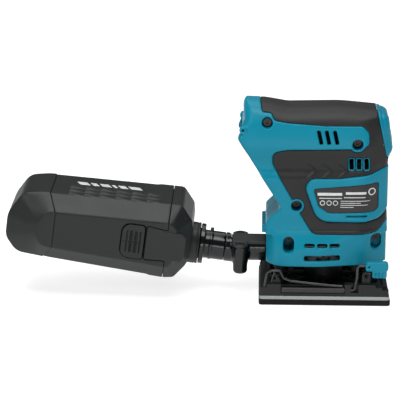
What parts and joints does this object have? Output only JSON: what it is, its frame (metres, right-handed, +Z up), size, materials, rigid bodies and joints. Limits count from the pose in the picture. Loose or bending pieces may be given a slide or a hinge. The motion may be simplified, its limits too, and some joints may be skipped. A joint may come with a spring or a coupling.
{
  "type": "cordless orbital palm sander",
  "caption": "Cordless quarter-sheet orbital palm sander with rubber grip, paper clamps and a swivelling rear dust box.",
  "frame": {"origin": "centre of the pad's bottom face", "axes": "+X to the front of the tool, away from the dust box; +Z up; the tool's right side is -Y"},
  "size_m": [0.3307, 0.104, 0.1731],
  "materials": {
    "teal_plastic": "satin",
    "black_rubber": "matte",
    "dark_plastic": "matte",
    "gloss_black_plastic": "gloss",
    "grey_plastic": "satin",
    "plate_metal": "satin",
    "steel": "satin",
    "black_steel": "satin",
    "spring_steel": "satin",
    "base_plastic": "matte",
    "foam": "matte",
    "label_film": "satin",
    "brass_contact": "satin",
    "copper_winding": "satin",
    "cast_metal": "matte",
    "board_green": "satin",
    "filter_paper": "matte"
  },
  "bodies": {
    "housing": {"housing_right": "teal_plastic", "housing_left": "teal_plastic", "grip_right": "black_rubber", "grip_left": "black_rubber", "nameplate_right": "label_film", "nameplate_left": "label_film", "housing_screws": "black_steel", "switch_panel": "teal_plastic", "switch_module": "dark_plastic", "motor_can": "steel", "motor_magnets": "cast_metal", "motor_end_bell": "dark_plastic", "motor_brushes": "cast_metal", "motor_top_bearing": "steel", "motor_lower_bearing": "steel", "bearing_bracket": "plate_metal", "controller_case": "dark_plastic", "controller_board": "board_green", "terminal_block": "dark_plastic", "terminal_blades": "brass_contact", "rubber_columns": "black_rubber", "nozzle_body": "gloss_black_plastic", "nozzle_cover": "grey_plastic", "nozzle_screws": "black_steel"},
    "drive": {"motor_shaft": "steel", "motor_armature": "copper_winding", "motor_commutator": "copper_winding", "fan": "base_plastic", "counterweight": "cast_metal"},
    "pad_base": {"eccentric_bearing": "steel", "base_carrier": "base_plastic", "base_plate": "plate_metal", "foam_pad": "foam", "base_screws": "black_steel", "clamp_spring_right": "spring_steel", "clamp_spring_left": "spring_steel"},
    "clamp_right": {"clamp_jaw_right": "grey_plastic", "clamp_wire_right": "spring_steel", "clamp_knob_right": "teal_plastic"},
    "clamp_left": {"clamp_jaw_left": "grey_plastic", "clamp_wire_left": "spring_steel", "clamp_knob_left": "teal_plastic"},
    "on_switch": {"on_button": "grey_plastic"},
    "off_switch": {"off_button": "dark_plastic"},
    "swivel": {"swivel_tube": "gloss_black_plastic"},
    "box_front": {"dust_box_lid": "dark_plastic", "box_collar": "dark_plastic", "filter_frame": "grey_plastic", "filter_element": "filter_paper"},
    "box_case": {"dust_box_case": "dark_plastic", "dust_box_end_cap": "dark_plastic"},
    "latch_right": {"latch_button_right": "dark_plastic"},
    "latch_left": {"latch_button_left": "dark_plastic"}
  },
  "joints": [
    {"name": "motor_spin", "type": "hinge", "parent": "housing", "child": "drive", "pos_m": [-0.00075, 0, 0.04], "axis": [0, 0, 1], "continuous": true},
    {"name": "pad_orbit", "type": "hinge", "parent": "drive", "child": "pad_base", "pos_m": [0, 0, 0.0225], "axis": [0, 0, 1], "continuous": true},
    {"name": "clamp_right_hinge", "type": "hinge", "parent": "pad_base", "child": "clamp_right", "pos_m": [0, -0.0484, 0.013], "axis": [1, 0, 0], "range_deg": [0, 70]},
    {"name": "clamp_left_hinge", "type": "hinge", "parent": "pad_base", "child": "clamp_left", "pos_m": [0, 0.0484, 0.013], "axis": [-1, 0, 0], "range_deg": [0, 70]},
    {"name": "on_press", "type": "slide", "parent": "housing", "child": "on_switch", "axis": [-0.9862, 0, -0.1655], "range_m": [0, 0.001], "stiffness_N_per_m": 800},
    {"name": "off_press", "type": "slide", "parent": "housing", "child": "off_switch", "axis": [-0.9862, 0, -0.1655], "range_m": [0, 0.001], "stiffness_N_per_m": 800},
    {"name": "nozzle_swivel", "type": "hinge", "parent": "housing", "child": "swivel", "pos_m": [-0.078, 0, 0.0357], "axis": [-0.9921, 0, 0.1253], "continuous": true},
    {"name": "box_pull", "type": "slide", "parent": "swivel", "child": "box_front", "axis": [-0.9921, 0, 0.1253], "range_m": [0, 0.03]},
    {"name": "case_pull", "type": "slide", "parent": "box_front", "child": "box_case", "axis": [-0.9921, 0, 0.1253], "range_m": [0, 0.12]},
    {"name": "latch_right_press", "type": "slide", "parent": "box_case", "child": "latch_right", "axis": [0, 1, 0], "range_m": [0, 0.0014], "stiffness_N_per_m": 600},
    {"name": "latch_left_press", "type": "slide", "parent": "box_case", "child": "latch_left", "axis": [0, -1, 0], "range_m": [0, 0.0014], "stiffness_N_per_m": 600}
  ],
  "couplings": [
    {"joint": "pad_orbit", "follows": "motor_spin", "ratio": -1}
  ]
}
